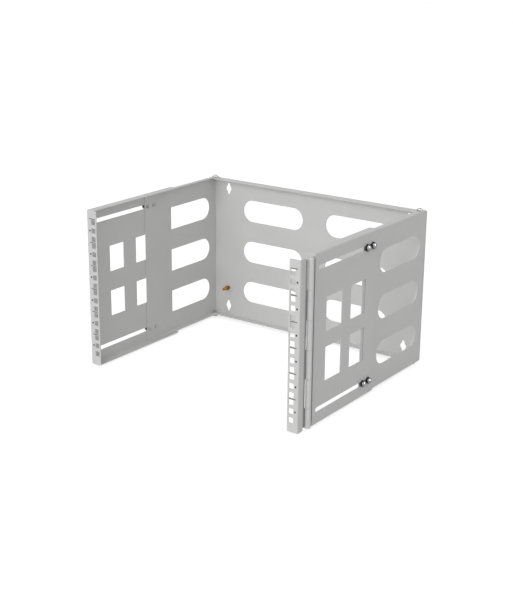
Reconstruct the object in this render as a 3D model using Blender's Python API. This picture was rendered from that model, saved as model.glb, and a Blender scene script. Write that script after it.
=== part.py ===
"""Wall mount open frame rack, six units high, with telescoping sides and a swing-out right post.

Metres, +Z up. X runs along the wall and -Y points into the room. The origin lies on the wall face of
the back plate, at the middle of its width and height. The sides stand as the photograph shows them:
the right one pulled all the way out, the left one pushed in by LEFT_PUSHED_IN.
"""
import math

import bmesh
import bpy
from mathutils import Matrix, Vector

# Nineteen-inch rack standard
UNIT = 0.04445
UNIT_COUNT = 6
HOLE_COLUMN_SPACING = 0.4651
SQUARE_HOLE = 0.0095
HOLE_HEIGHTS_IN_UNIT = (0.00635, 0.022225, 0.0381)

# Sheet metal and fits
SHEET = 0.0015
PLATE_SHEET = 0.0020
BEND_RADIUS = 0.0020
FACE_GAP = 0.0003
CORNER_RADIUS = 0.0040
REAR_CORNER_RADIUS = 0.0080
POST_CORNER_RADIUS = 0.0025

# Overall sizes: the posts hold the hole columns, and the sides stand a little taller than the units
HOLE_TO_POST_EDGE = 0.00755
HOLE_TO_POST_SIDE = 0.01395
POST_OPENING = HOLE_COLUMN_SPACING - 2 * HOLE_TO_POST_EDGE
OUTER_WIDTH = HOLE_COLUMN_SPACING + 2 * HOLE_TO_POST_SIDE
SIDE_MARGIN = 0.01645
SIDE_HEIGHT = UNIT_COUNT * UNIT + 2 * SIDE_MARGIN
POST_TRIM = 0.0013
POST_HEIGHT = SIDE_HEIGHT - 2 * POST_TRIM

# Side panels, measured along Y
REAR_PANEL_LENGTH = 0.2222
REAR_FLANGE = 0.0110
FRONT_FLANGE = 0.0180
LEFT_FRONT_LENGTH = 0.2375
RIGHT_FRONT_LENGTH = 0.1985
LEFT_PUSHED_IN = 0.0400
LEFT_POST_SIDE_DEPTH = 0.0080

# Back plate
PLATE_FLANGE_DEPTH = 0.0185
PIVOT_SETBACK = 0.0125
PIVOT_INSET = 0.0072

# Cable slots, shared by the back plate and the rear panels
CABLE_SLOT_LENGTH = 0.1445
CABLE_SLOT_HEIGHT = 0.0445
CABLE_SLOT_PITCH = 0.0860
PLATE_SLOT_OFFSET = 0.0990
REAR_SLOT_SETBACK = 0.0927

# Keyholes and small holes in the back plate
KEYHOLE_TO_SIDE = 0.0373
KEYHOLE_TO_EDGE = 0.0242
KEYHOLE_X = OUTER_WIDTH / 2 - KEYHOLE_TO_SIDE
KEYHOLE_Z = SIDE_HEIGHT / 2 - KEYHOLE_TO_EDGE
KEYHOLE_ROUND_RADIUS = 0.00675
KEYHOLE_SLOT_WIDTH = 0.0065
KEYHOLE_HEIGHT = 0.0232
PILOT_HOLE_X = 0.0160
PILOT_HOLE_Z = 0.0370
PILOT_HOLE_RADIUS = 0.00125

# Windows of the front panels
LEFT_WINDOW = (0.0390, 0.0500)
LEFT_WINDOW_PITCH = (0.0740, 0.0877)
LEFT_WINDOW_SETBACK = 0.0756
LEFT_WINDOW_DROP = 0.0
RIGHT_WINDOW = (0.0492, 0.0606)
RIGHT_WINDOW_PITCH = (0.0771, 0.0877)
RIGHT_WINDOW_SETBACK = 0.0613
RIGHT_WINDOW_DROP = 0.0057
WINDOW_CORNER = 0.0006

# Clamp fasteners and their slots
CLAMP_TO_EDGE = 0.0255
CLAMP_HEIGHT = SIDE_HEIGHT / 2 - CLAMP_TO_EDGE
CLAMP_SPACING = 0.0190
CLAMP_SETBACK = 0.0067
LEFT_SLOT_SETBACK = 0.0200
RIGHT_SLOT_SETBACK = 0.0099
CLAMP_SLOT_PLAY = 0.0010
SLOT_END_TO_EDGE = 0.0148
STUD_RADIUS = 0.0030
STUD_HEAD_RADIUS = 0.0037
STUD_HEAD_HEIGHT = 0.0015
SHANK_CHAMFER = 0.0005
NUT_FLATS = 0.0118
NUT_HEX_HEIGHT = 0.0036
NUT_DOME_RADIUS = 0.0054
NUT_DOME_HEIGHT = 0.0045
NUT_BORE_DEPTH = 0.0058

# Pivot screws at the rear corners
SCREW_RADIUS = 0.0025
SCREW_HEAD_RADIUS = 0.0055
SCREW_HEAD_HEIGHT = 0.0042
SCREW_TIP = 0.0005
PIVOT_NUT_FLATS = 0.0078
PIVOT_NUT_HEIGHT = 0.0024

# Right post and its piano hinge
POST_SIDE_DEPTH = 0.0151
POST_TO_PANEL = 0.0430
HINGE_SETBACK = 0.0275
HINGE_TRIM = 0.0020
HINGE_LENGTH = POST_HEIGHT - 2 * HINGE_TRIM
KNUCKLE_RADIUS = 0.0052
KNUCKLE_PITCH = 0.0513
FIRST_KNUCKLE = 0.0520
KNUCKLE_GAP = 0.0004
PIN_CHAMFER = 0.0005
LEAF_THICKNESS = 0.0019
LEAF_END_INSET = 0.0020
POST_LEAF_LAP = 0.0090
PANEL_LEAF_LAP = 0.0060

# Earth stud on the back plate, above the lower left keyhole
EARTH_TO_KEYHOLE = 0.0394
EARTH_Z = KEYHOLE_Z - EARTH_TO_KEYHOLE
EARTH_RADIUS = 0.0026
EARTH_LENGTH = 0.0180
EARTH_BASE_RADIUS = 0.0038
EARTH_BASE_HEIGHT = 0.0012
EARTH_NUT_FLATS = 0.0080
EARTH_NUT_HEIGHT = 0.0065

# Small fixing hole in the lower flange of each front panel
FLANGE_HOLE_RADIUS = 0.0018
FLANGE_HOLE_SETBACK = 0.0587

# How far a cutting tool reaches past what it cuts
MARGIN = 0.0010

# How large the joint axes are drawn
AXIS_MARK = 0.0200

# Facets
CORNER_STEPS = 5
SLOT_STEPS = 14
SLOT_END_STEPS = 8
ROUND_STEPS = 32
SMALL_ROUND_STEPS = 20
DOME_STEPS = 4

# Planes that follow from the sizes above
FRONT_OUTER = OUTER_WIDTH / 2
FRONT_INNER = FRONT_OUTER - SHEET
REAR_OUTER = FRONT_INNER - FACE_GAP
REAR_INNER = REAR_OUTER - SHEET
FRONT_TOP = SIDE_HEIGHT / 2
REAR_TOP = FRONT_TOP - SHEET - FACE_GAP
PLATE_TOP = REAR_TOP - SHEET - FACE_GAP
PLATE_FRONT = -PLATE_SHEET
REAR_PANEL_BACK = PLATE_FRONT - FACE_GAP
REAR_PANEL_FRONT = REAR_PANEL_BACK - REAR_PANEL_LENGTH
PIVOT_X = REAR_INNER - PIVOT_INSET
PIVOT_Y = -PIVOT_SETBACK
FIRST_CLAMP = REAR_PANEL_FRONT + CLAMP_SETBACK
SECOND_CLAMP = FIRST_CLAMP + CLAMP_SPACING
CLAMP_HOLE_RADIUS = STUD_RADIUS + FACE_GAP
CLAMP_SLOT_RADIUS = STUD_RADIUS + CLAMP_SLOT_PLAY
RIGHT_PANEL_BACK = SECOND_CLAMP + CLAMP_SLOT_RADIUS + SLOT_END_TO_EDGE
RIGHT_PANEL_FRONT = RIGHT_PANEL_BACK - RIGHT_FRONT_LENGTH
RIGHT_POST_FACE = RIGHT_PANEL_FRONT - POST_TO_PANEL
LEFT_POST_FACE = RIGHT_POST_FACE + LEFT_PUSHED_IN
LEFT_PANEL_BACK = LEFT_POST_FACE + LEFT_FRONT_LENGTH
POST_INNER = POST_OPENING / 2
LEAF_OUTER = FRONT_INNER - FACE_GAP
LEAF_INNER = LEAF_OUTER - LEAF_THICKNESS
HINGE_X = LEAF_INNER + KNUCKLE_RADIUS
HINGE_Y = RIGHT_POST_FACE + HINGE_SETBACK
PIN_RADIUS = KNUCKLE_RADIUS - LEAF_THICKNESS - FACE_GAP

LEFT = -1
RIGHT = 1

PAINT = ("light_grey_paint", (0.56, 0.56, 0.55), 0.45, 0.0)
HINGE_PAINT = ("hinge_grey_paint", (0.60, 0.60, 0.59), 0.40, 0.0)
NICKEL = ("bright_nickel", (0.66, 0.65, 0.62), 0.18, 1.0)
ZINC = ("zinc_plate", (0.58, 0.58, 0.56), 0.35, 1.0)
COPPER = ("copper_plate", (0.62, 0.28, 0.10), 0.35, 1.0)


def clear_scene():
    """Empties the file of objects, meshes and materials."""
    for old in list(bpy.data.objects):
        bpy.data.objects.remove(old, do_unlink=True)
    for mesh in list(bpy.data.meshes):
        bpy.data.meshes.remove(mesh)
    for material in list(bpy.data.materials):
        bpy.data.materials.remove(material)


def material(finish):
    """A Principled material from (name, colour, roughness, metallic), made once for each name."""
    name, colour, roughness, metallic = finish
    found = bpy.data.materials.get(name)
    if found:
        return found
    made = bpy.data.materials.new(name)
    made.use_nodes = True
    shader = made.node_tree.nodes["Principled BSDF"]
    shader.inputs["Base Color"].default_value = (*colour, 1.0)
    shader.inputs["Roughness"].default_value = roughness
    shader.inputs["Metallic"].default_value = metallic
    made.diffuse_color = (*colour, 1.0)
    return made


def arc(centre, radius, start, sweep, steps):
    """Points on an arc, ends included, from a start angle through a sweep."""
    angles = [start + sweep * i / steps for i in range(steps + 1)]
    return [(centre[0] + radius * math.cos(a), centre[1] + radius * math.sin(a)) for a in angles]


def circle(centre, radius, steps=ROUND_STEPS):
    """A closed circle outline."""
    return arc(centre, radius, 0.0, math.tau, steps)[:-1]


def rounded(corners, steps=CORNER_STEPS):
    """A closed outline through corners (a, b, radius), with an arc where the radius isn't zero."""
    outline = []
    for index, (a, b, radius) in enumerate(corners):
        here = Vector((a, b))
        if radius <= 0.0:
            outline.append((a, b))
            continue
        before = (Vector(corners[index - 1][:2]) - here).normalized()
        after = (Vector(corners[(index + 1) % len(corners)][:2]) - here).normalized()
        half = before.angle(after) / 2
        centre = here + (before + after).normalized() * (radius / math.sin(half))
        first = here + before * (radius / math.tan(half)) - centre
        last = here + after * (radius / math.tan(half)) - centre
        start = math.atan2(first.y, first.x)
        turn = math.atan2(last.y, last.x) - start
        sweep = (turn + math.pi) % math.tau - math.pi
        outline += arc(centre, radius, start, sweep, steps)
    return outline


def box_outline(low_a, high_a, low_b, high_b, radius=0.0):
    """A rectangle outline with all its corners alike."""
    corners = [(low_a, low_b), (high_a, low_b), (high_a, high_b), (low_a, high_b)]
    return rounded([(a, b, radius) for a, b in corners])


def stadium(low_a, high_a, centre_b, radius, steps=SLOT_STEPS):
    """A slot outline with half-round ends, lying along the first direction."""
    left = arc((low_a + radius, centre_b), radius, math.pi / 2, math.pi, steps)
    right = arc((high_a - radius, centre_b), radius, -math.pi / 2, math.pi, steps)
    return left + right


def finish_mesh(bm, name):
    """Turns a bmesh into a mesh with its faces looking outwards."""
    bmesh.ops.recalc_face_normals(bm, faces=bm.faces)
    mesh = bpy.data.meshes.new(name)
    bm.to_mesh(mesh)
    bm.free()
    return mesh


def add_object(name, mesh):
    """Links a new object for a mesh."""
    made = bpy.data.objects.new(name, mesh)
    bpy.context.scene.collection.objects.link(made)
    return made


def extrude_outlines(name, outlines, axis, low, high):
    """One object holding a prism for each closed outline, extruded along X, Y or Z."""
    place = {
        "X": lambda a, b: (low, a, b),
        "Y": lambda a, b: (a, low, b),
        "Z": lambda a, b: (a, b, low),
    }[axis]
    step = {"X": Vector((1, 0, 0)), "Y": Vector((0, 1, 0)), "Z": Vector((0, 0, 1))}[axis] * (high - low)
    bm = bmesh.new()
    faces = [bm.faces.new([bm.verts.new(place(a, b)) for a, b in outline]) for outline in outlines]
    extruded = bmesh.ops.extrude_face_region(bm, geom=faces, use_keep_orig=True)
    moved = [item for item in extruded["geom"] if isinstance(item, bmesh.types.BMVert)]
    bmesh.ops.translate(bm, verts=moved, vec=step)
    return add_object(name, finish_mesh(bm, name))


def revolve(name, profile, steps=ROUND_STEPS):
    """A solid turned about Z from a profile of (radius, height) that starts and ends on the axis."""
    bm = bmesh.new()
    verts = [bm.verts.new((radius, 0.0, height)) for radius, height in profile]
    edges = [bm.edges.new(pair) for pair in zip(verts, verts[1:])]
    bmesh.ops.spin(bm, geom=verts + edges, cent=(0, 0, 0), axis=(0, 0, 1), angle=math.tau, steps=steps)
    bmesh.ops.remove_doubles(bm, verts=bm.verts, dist=1e-7)
    return add_object(name, finish_mesh(bm, name))


def combine(target, tool, operation):
    """Applies one exact Boolean to the target and removes the tool."""
    modifier = target.modifiers.new(operation.lower(), "BOOLEAN")
    modifier.operation = operation
    modifier.solver = "EXACT"
    modifier.object = tool
    depsgraph = bpy.context.evaluated_depsgraph_get()
    result = bpy.data.meshes.new_from_object(target.evaluated_get(depsgraph))
    target.modifiers.clear()
    target.data = result
    bpy.data.objects.remove(tool, do_unlink=True)


def shade_round(piece):
    """Smooth shading that keeps the sharp edges of a turned piece."""
    piece.data.shade_smooth()
    piece.data.set_sharp_from_angle(angle=math.radians(35))


def paint(piece, finish):
    """Gives a piece its only material."""
    piece.data.materials.clear()
    piece.data.materials.append(material(finish))
    return piece


def mirror_x(outline, side):
    """An outline in X and something else, on the given side."""
    return [(side * a, b) for a, b in outline]


def channel_outline(side, outer, width, half_height):
    """The C section of a side panel in X and Z, with its two bends."""
    inner_bend = BEND_RADIUS - SHEET
    return mirror_x(rounded([
        (outer - width, half_height, 0.0),
        (outer, half_height, BEND_RADIUS),
        (outer, -half_height, BEND_RADIUS),
        (outer - width, -half_height, 0.0),
        (outer - width, -half_height + SHEET, 0.0),
        (outer - SHEET, -half_height + SHEET, inner_bend),
        (outer - SHEET, half_height - SHEET, inner_bend),
        (outer - width, half_height - SHEET, 0.0),
    ]), side)


def cable_slots(centre):
    """Three cable slots above each other, centred at a place along the sheet."""
    low = centre - CABLE_SLOT_LENGTH / 2
    high = centre + CABLE_SLOT_LENGTH / 2
    return [stadium(low, high, row * CABLE_SLOT_PITCH, CABLE_SLOT_HEIGHT / 2) for row in (-1, 0, 1)]


def keyhole_outline(centre_x, centre_z):
    """A two-way keyhole: a round middle with a narrow slot above and below."""
    half_slot = KEYHOLE_SLOT_WIDTH / 2
    reach = KEYHOLE_HEIGHT / 2 - half_slot
    neck = math.asin(half_slot / KEYHOLE_ROUND_RADIUS)
    side_sweep = math.pi - 2 * neck
    return (
        arc((centre_x, centre_z), KEYHOLE_ROUND_RADIUS, -math.pi / 2 + neck, side_sweep, SLOT_STEPS)
        + arc((centre_x, centre_z + reach), half_slot, 0.0, math.pi, SLOT_END_STEPS)
        + arc((centre_x, centre_z), KEYHOLE_ROUND_RADIUS, math.pi / 2 + neck, side_sweep, SLOT_STEPS)
        + arc((centre_x, centre_z - reach), half_slot, math.pi, math.pi, SLOT_END_STEPS)
    )


def build_back_plate():
    """The folded back plate, its flange ends rounded about the pivots so that the sides can turn."""
    inner_bend = BEND_RADIUS - PLATE_SHEET
    section = rounded([
        (-PLATE_FLANGE_DEPTH, PLATE_TOP, 0.0),
        (0.0, PLATE_TOP, BEND_RADIUS),
        (0.0, -PLATE_TOP, BEND_RADIUS),
        (-PLATE_FLANGE_DEPTH, -PLATE_TOP, 0.0),
        (-PLATE_FLANGE_DEPTH, -PLATE_TOP + PLATE_SHEET, 0.0),
        (PLATE_FRONT, -PLATE_TOP + PLATE_SHEET, inner_bend),
        (PLATE_FRONT, PLATE_TOP - PLATE_SHEET, inner_bend),
        (-PLATE_FLANGE_DEPTH, PLATE_TOP - PLATE_SHEET, 0.0),
    ])
    plate = extrude_outlines("back_plate", [section], "X", -FRONT_INNER, FRONT_INNER)
    end_radius = PLATE_FLANGE_DEPTH - PIVOT_SETBACK
    flange_end = PIVOT_X + end_radius
    plan = rounded([
        (-FRONT_INNER - MARGIN, MARGIN, 0.0),
        (-FRONT_INNER - MARGIN, PLATE_FRONT, 0.0),
        (-flange_end, PLATE_FRONT, 0.0),
        (-flange_end, -PLATE_FLANGE_DEPTH, end_radius),
        (flange_end, -PLATE_FLANGE_DEPTH, end_radius),
        (flange_end, PLATE_FRONT, 0.0),
        (FRONT_INNER + MARGIN, PLATE_FRONT, 0.0),
        (FRONT_INNER + MARGIN, MARGIN, 0.0),
    ], steps=8)
    combine(plate, extrude_outlines("plan", [plan], "Z", -FRONT_TOP, FRONT_TOP), "INTERSECT")
    holes = []
    for side in (LEFT, RIGHT):
        holes += cable_slots(side * PLATE_SLOT_OFFSET)
        holes += [keyhole_outline(side * KEYHOLE_X, level * KEYHOLE_Z) for level in (-1, 1)]
    holes.append(circle((PILOT_HOLE_X, PILOT_HOLE_Z), PILOT_HOLE_RADIUS, 12))
    combine(plate, extrude_outlines("holes", holes, "Y", PLATE_FRONT - MARGIN, MARGIN), "DIFFERENCE")
    pivots = [circle((side * PIVOT_X, PIVOT_Y), SCREW_RADIUS + FACE_GAP) for side in (LEFT, RIGHT)]
    combine(plate, extrude_outlines("pivots", pivots, "Z", -FRONT_TOP, FRONT_TOP), "DIFFERENCE")
    return paint(plate, PAINT)


def build_rear_panel(side, name):
    """The inner half of a side: a channel with three cable slots and a round lug at each rear corner."""
    lug_radius = PIVOT_SETBACK + REAR_PANEL_BACK
    lug_reach = REAR_OUTER - PIVOT_X + lug_radius
    section = channel_outline(side, REAR_OUTER, lug_reach, REAR_TOP)
    panel = extrude_outlines(name, [section], "Y", REAR_PANEL_FRONT, REAR_PANEL_BACK)
    flange_edge = REAR_OUTER - REAR_FLANGE
    neck = math.acos((flange_edge - PIVOT_X) / lug_radius)
    lug = arc((PIVOT_X, PIVOT_Y), lug_radius, -neck, neck - 1.5 * math.pi, 24)
    plan = [
        (PIVOT_X, REAR_PANEL_BACK + MARGIN),
        (REAR_OUTER + MARGIN, REAR_PANEL_BACK + MARGIN),
        (REAR_OUTER + MARGIN, REAR_PANEL_FRONT - MARGIN),
        *rounded_flange_corner(flange_edge, REAR_PANEL_FRONT),
        *lug,
    ]
    plan_tool = extrude_outlines("plan", [mirror_x(plan, side)], "Z", -FRONT_TOP, FRONT_TOP)
    combine(panel, plan_tool, "INTERSECT")
    slot_centre = REAR_PANEL_BACK - REAR_SLOT_SETBACK
    holes = cable_slots(slot_centre)
    for level in (-1, 1):
        for place in (FIRST_CLAMP, SECOND_CLAMP):
            holes.append(circle((place, level * CLAMP_HEIGHT), CLAMP_HOLE_RADIUS, 20))
    combine(panel, side_cutter(side, holes), "DIFFERENCE")
    pivot = [circle((side * PIVOT_X, PIVOT_Y), SCREW_RADIUS + FACE_GAP)]
    combine(panel, extrude_outlines("pivot", pivot, "Z", -FRONT_TOP, FRONT_TOP), "DIFFERENCE")
    return paint(panel, PAINT)


def rounded_flange_corner(edge, end):
    """The free corner at the front end of a rear panel's flange, in plan."""
    radius = REAR_CORNER_RADIUS
    corner = arc((edge + radius, end + radius), radius, -math.pi / 2, -math.pi / 2, CORNER_STEPS + 3)
    return [(edge + radius, end - MARGIN), *corner]


def side_cutter(side, holes):
    """A tool that cuts outlines in Y and Z through both walls' thickness on one side."""
    low, high = sorted((side * (REAR_INNER - MARGIN), side * (FRONT_OUTER + MARGIN)))
    return extrude_outlines("holes", holes, "X", low, high)


def windows(front, size, pitch, setback, drop):
    """Four window outlines, two by two, from the front edge of a panel."""
    outlines = []
    for column in (0, 1):
        for level in (-1, 1):
            centre_y = front + setback + column * pitch[0]
            centre_z = level * pitch[1] / 2 - drop
            outlines.append(box_outline(
                centre_y - size[0] / 2, centre_y + size[0] / 2,
                centre_z - size[1] / 2, centre_z + size[1] / 2, WINDOW_CORNER,
            ))
    return outlines


def clamp_slots(low, pushed_in):
    """The two long adjusting slots, from their front end to where the clamps stop the panel."""
    high = SECOND_CLAMP + pushed_in + CLAMP_SLOT_RADIUS
    return [stadium(low, high, level * CLAMP_HEIGHT, CLAMP_SLOT_RADIUS, SLOT_END_STEPS) for level in (-1, 1)]


def trim_front_flanges(panel, side, front, back):
    """Rounds the free corners of a front panel's flanges in plan."""
    edge = FRONT_OUTER - FRONT_FLANGE
    plan = rounded([
        (FRONT_OUTER + MARGIN, back, 0.0),
        (FRONT_OUTER + MARGIN, front - MARGIN, 0.0),
        (edge, front - MARGIN, 0.0),
        (edge, back, CORNER_RADIUS),
    ])
    plan_tool = extrude_outlines("plan", [mirror_x(plan, side)], "Z", -FRONT_TOP - MARGIN, FRONT_TOP + MARGIN)
    combine(panel, plan_tool, "INTERSECT")


def drill_flange(panel, side, front):
    """The small fixing hole in the lower flange."""
    centre = (side * (FRONT_OUTER - FRONT_FLANGE / 2), front + FLANGE_HOLE_SETBACK)
    hole = [circle(centre, FLANGE_HOLE_RADIUS, SMALL_ROUND_STEPS)]
    tool = extrude_outlines("hole", hole, "Z", -FRONT_TOP - MARGIN, -FRONT_TOP + SHEET + MARGIN)
    combine(panel, tool, "DIFFERENCE")


def post_angle(name, side, face, outer, side_depth):
    """A folded angle: the front flange with its free corners rounded, and a side leg."""
    inner_bend = BEND_RADIUS - SHEET
    section = mirror_x(rounded([
        (POST_INNER, face, 0.0),
        (outer, face, BEND_RADIUS),
        (outer, face + side_depth, 0.0),
        (outer - SHEET, face + side_depth, 0.0),
        (outer - SHEET, face + SHEET, inner_bend),
        (POST_INNER, face + SHEET, 0.0),
    ]), side)
    half = POST_HEIGHT / 2
    angle = extrude_outlines(name, [section], "Z", -half, half)
    front_view = mirror_x(rounded([
        (POST_INNER, -half, POST_CORNER_RADIUS),
        (outer + MARGIN, -half, 0.0),
        (outer + MARGIN, half, 0.0),
        (POST_INNER, half, POST_CORNER_RADIUS),
    ]), side)
    tool = extrude_outlines("front_view", [front_view], "Y", face - MARGIN, face + side_depth + MARGIN)
    combine(angle, tool, "INTERSECT")
    return angle


def square_holes(side, face):
    """The tool for the square mounting holes of a post, three to a unit."""
    half = SQUARE_HOLE / 2
    centre_x = side * HOLE_COLUMN_SPACING / 2
    bottom = -UNIT_COUNT * UNIT / 2
    outlines = []
    for unit in range(UNIT_COUNT):
        for height in HOLE_HEIGHTS_IN_UNIT:
            centre_z = bottom + unit * UNIT + height
            outlines.append(box_outline(centre_x - half, centre_x + half, centre_z - half, centre_z + half))
    return extrude_outlines("squares", outlines, "Y", face - MARGIN, face + SHEET + MARGIN)


def build_left_front_panel():
    """The outer half of the left side, with the left post welded on its outside and front edge."""
    front = LEFT_POST_FACE + SHEET / 2
    section = channel_outline(LEFT, FRONT_OUTER, FRONT_FLANGE, FRONT_TOP)
    panel = extrude_outlines("left_front_panel", [section], "Y", front, LEFT_PANEL_BACK)
    trim_front_flanges(panel, LEFT, front, LEFT_PANEL_BACK)
    post = post_angle("post", LEFT, LEFT_POST_FACE, FRONT_OUTER + SHEET, LEFT_POST_SIDE_DEPTH)
    combine(post, square_holes(LEFT, LEFT_POST_FACE), "DIFFERENCE")
    combine(panel, post, "UNION")
    holes = clamp_slots(LEFT_POST_FACE + LEFT_SLOT_SETBACK, LEFT_PUSHED_IN)
    holes += windows(LEFT_POST_FACE, LEFT_WINDOW, LEFT_WINDOW_PITCH, LEFT_WINDOW_SETBACK, LEFT_WINDOW_DROP)
    combine(panel, side_cutter(LEFT, holes), "DIFFERENCE")
    drill_flange(panel, LEFT, LEFT_POST_FACE)
    return paint(panel, PAINT)


def build_right_front_panel():
    """The outer half of the right side, which ends at the piano hinge."""
    section = channel_outline(RIGHT, FRONT_OUTER, FRONT_FLANGE, FRONT_TOP)
    panel = extrude_outlines("right_front_panel", [section], "Y", RIGHT_PANEL_FRONT, RIGHT_PANEL_BACK)
    trim_front_flanges(panel, RIGHT, RIGHT_PANEL_FRONT, RIGHT_PANEL_BACK)
    holes = clamp_slots(RIGHT_PANEL_FRONT + RIGHT_SLOT_SETBACK, 0.0)
    holes += windows(
        RIGHT_PANEL_FRONT, RIGHT_WINDOW, RIGHT_WINDOW_PITCH, RIGHT_WINDOW_SETBACK, RIGHT_WINDOW_DROP
    )
    combine(panel, side_cutter(RIGHT, holes), "DIFFERENCE")
    drill_flange(panel, RIGHT, RIGHT_PANEL_FRONT)
    return paint(panel, PAINT)


def build_right_post():
    """The separate folded angle that swings on the piano hinge."""
    post = post_angle("right_post", RIGHT, RIGHT_POST_FACE, FRONT_OUTER, POST_SIDE_DEPTH)
    combine(post, square_holes(RIGHT, RIGHT_POST_FACE), "DIFFERENCE")
    return paint(post, PAINT)


def knuckle_spans():
    """The (low, high) heights of the hinge knuckles, from the top down."""
    top = HINGE_LENGTH / 2
    bottom = -HINGE_LENGTH / 2
    joints = [top]
    height = top - FIRST_KNUCKLE
    while height > bottom + KNUCKLE_PITCH / 4:
        joints.append(height)
        height -= KNUCKLE_PITCH
    joints.append(bottom)
    spans = list(zip(joints[1:], joints))
    half_gap = KNUCKLE_GAP / 2
    return [
        (low + (half_gap if low > bottom else 0.0), high - (half_gap if high < top else 0.0))
        for low, high in spans
    ]


def build_hinge_leaf(name, direction, far_edge, first):
    """One leaf of the piano hinge with every second knuckle, rolled round the pin from one strip."""
    spans = knuckle_spans()
    own = spans[first::2]
    other = spans[1 - first::2]
    low_y, high_y = sorted((HINGE_Y, far_edge))
    strip = box_outline(LEAF_INNER, LEAF_OUTER, low_y, high_y)
    half = HINGE_LENGTH / 2
    leaf = extrude_outlines(name, [strip], "Z", -half + LEAF_END_INSET, half - LEAF_END_INSET)
    notch_edge = HINGE_Y + direction * (KNUCKLE_RADIUS + FACE_GAP)
    notch_low, notch_high = sorted((HINGE_Y - direction * MARGIN, notch_edge))
    for low, high in other:
        notch = box_outline(LEAF_INNER - MARGIN, LEAF_OUTER + MARGIN, notch_low, notch_high)
        tool = extrude_outlines("notch", [notch], "Z", low - KNUCKLE_GAP, high + KNUCKLE_GAP)
        combine(leaf, tool, "DIFFERENCE")
    for low, high in own:
        barrel = extrude_outlines("barrel", [circle((HINGE_X, HINGE_Y), KNUCKLE_RADIUS)], "Z", low, high)
        combine(leaf, barrel, "UNION")
    bore = [circle((HINGE_X, HINGE_Y), PIN_RADIUS + FACE_GAP)]
    combine(leaf, extrude_outlines("bore", bore, "Z", -half - MARGIN, half + MARGIN), "DIFFERENCE")
    shade_round(leaf)
    return paint(leaf, HINGE_PAINT)


def build_hinge_pin():
    """The pin through the knuckles, flush with their ends."""
    half = HINGE_LENGTH / 2
    profile = [(0.0, -half), (PIN_RADIUS - PIN_CHAMFER, -half), (PIN_RADIUS, -half + PIN_CHAMFER)]
    profile += [(radius, -height) for radius, height in reversed(profile)]
    pin = revolve("hinge_pin", profile, SMALL_ROUND_STEPS)
    pin.location = (HINGE_X, HINGE_Y, 0.0)
    shade_round(pin)
    return paint(pin, ZINC)


def hexagon(flats):
    """A hexagon outline about the origin, from its width across flats."""
    return circle((0.0, 0.0), flats / math.sqrt(3), 6)


def dome_profile(radius, base, height, steps=DOME_STEPS):
    """The (radius, height) points of a dome over a short cylinder, from its base to the axis."""
    wall = max(height - radius, height / 5)
    cap = height - wall
    points = [(radius, base), (radius, base + wall)]
    for step in range(1, steps):
        angle = math.pi / 2 * step / steps
        points.append((radius * math.cos(angle), base + wall + cap * math.sin(angle)))
    points.append((0.0, base + height))
    return points


def cap_nut_mesh():
    """A domed cap nut standing on its base at the origin, open below for the stud."""
    nut = extrude_outlines("cap_nut", [hexagon(NUT_FLATS)], "Z", 0.0, NUT_HEX_HEIGHT)
    outside = NUT_FLATS / math.sqrt(3) + MARGIN
    inscribed = NUT_FLATS / 2
    turned = [(0.0, -MARGIN), (outside, -MARGIN), (outside, NUT_HEX_HEIGHT - (outside - inscribed) / 2)]
    turned += [(inscribed, NUT_HEX_HEIGHT), (0.0, NUT_HEX_HEIGHT)]
    combine(nut, revolve("chamfer", turned, SMALL_ROUND_STEPS), "INTERSECT")
    below = NUT_HEX_HEIGHT / 2
    dome = [(0.0, below), *dome_profile(NUT_DOME_RADIUS, below, NUT_HEX_HEIGHT - below + NUT_DOME_HEIGHT)]
    combine(nut, revolve("dome", dome, SMALL_ROUND_STEPS), "UNION")
    bore_radius = STUD_RADIUS + FACE_GAP
    bore = [(0.0, -MARGIN), (bore_radius, -MARGIN), (bore_radius, NUT_BORE_DEPTH), (0.0, NUT_BORE_DEPTH)]
    combine(nut, revolve("bore", bore, SMALL_ROUND_STEPS), "DIFFERENCE")
    shade_round(nut)
    mesh = nut.data
    bpy.data.objects.remove(nut, do_unlink=True)
    return mesh


def stud_mesh():
    """A clamp stud standing on its flat head at the origin, shank up."""
    shank_end = STUD_HEAD_HEIGHT + FRONT_OUTER - REAR_INNER + NUT_BORE_DEPTH
    profile = [
        (0.0, 0.0),
        (STUD_HEAD_RADIUS, 0.0),
        (STUD_HEAD_RADIUS, STUD_HEAD_HEIGHT),
        (STUD_RADIUS, STUD_HEAD_HEIGHT),
        (STUD_RADIUS, shank_end - SHANK_CHAMFER),
        (STUD_RADIUS - SHANK_CHAMFER, shank_end),
        (0.0, shank_end),
    ]
    stud = revolve("clamp_stud", profile, SMALL_ROUND_STEPS)
    shade_round(stud)
    mesh = stud.data
    bpy.data.objects.remove(stud, do_unlink=True)
    return mesh


def build_clamps(side, side_name):
    """The four studs and cap nuts that lock a side's two halves together."""
    nut_mesh = cap_nut_mesh()
    shank_mesh = stud_mesh()
    outward = Matrix.Rotation(side * math.pi / 2, 4, "Y")
    pieces = []
    for level, level_name in ((1, "upper"), (-1, "lower")):
        for place, place_name in ((FIRST_CLAMP, "front"), (SECOND_CLAMP, "rear")):
            label = f"{side_name}_{level_name}_{place_name}"
            stud = add_object(f"clamp_stud_{label}", shank_mesh.copy())
            stud_base = REAR_INNER - FACE_GAP - STUD_HEAD_HEIGHT
            stud.matrix_world = Matrix.Translation((side * stud_base, place, level * CLAMP_HEIGHT)) @ outward
            nut = add_object(f"cap_nut_{label}", nut_mesh.copy())
            nut_base = FRONT_OUTER + FACE_GAP
            nut.matrix_world = Matrix.Translation((side * nut_base, place, level * CLAMP_HEIGHT)) @ outward
            pieces += [paint(stud, ZINC), paint(nut, NICKEL)]
    return pieces


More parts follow.
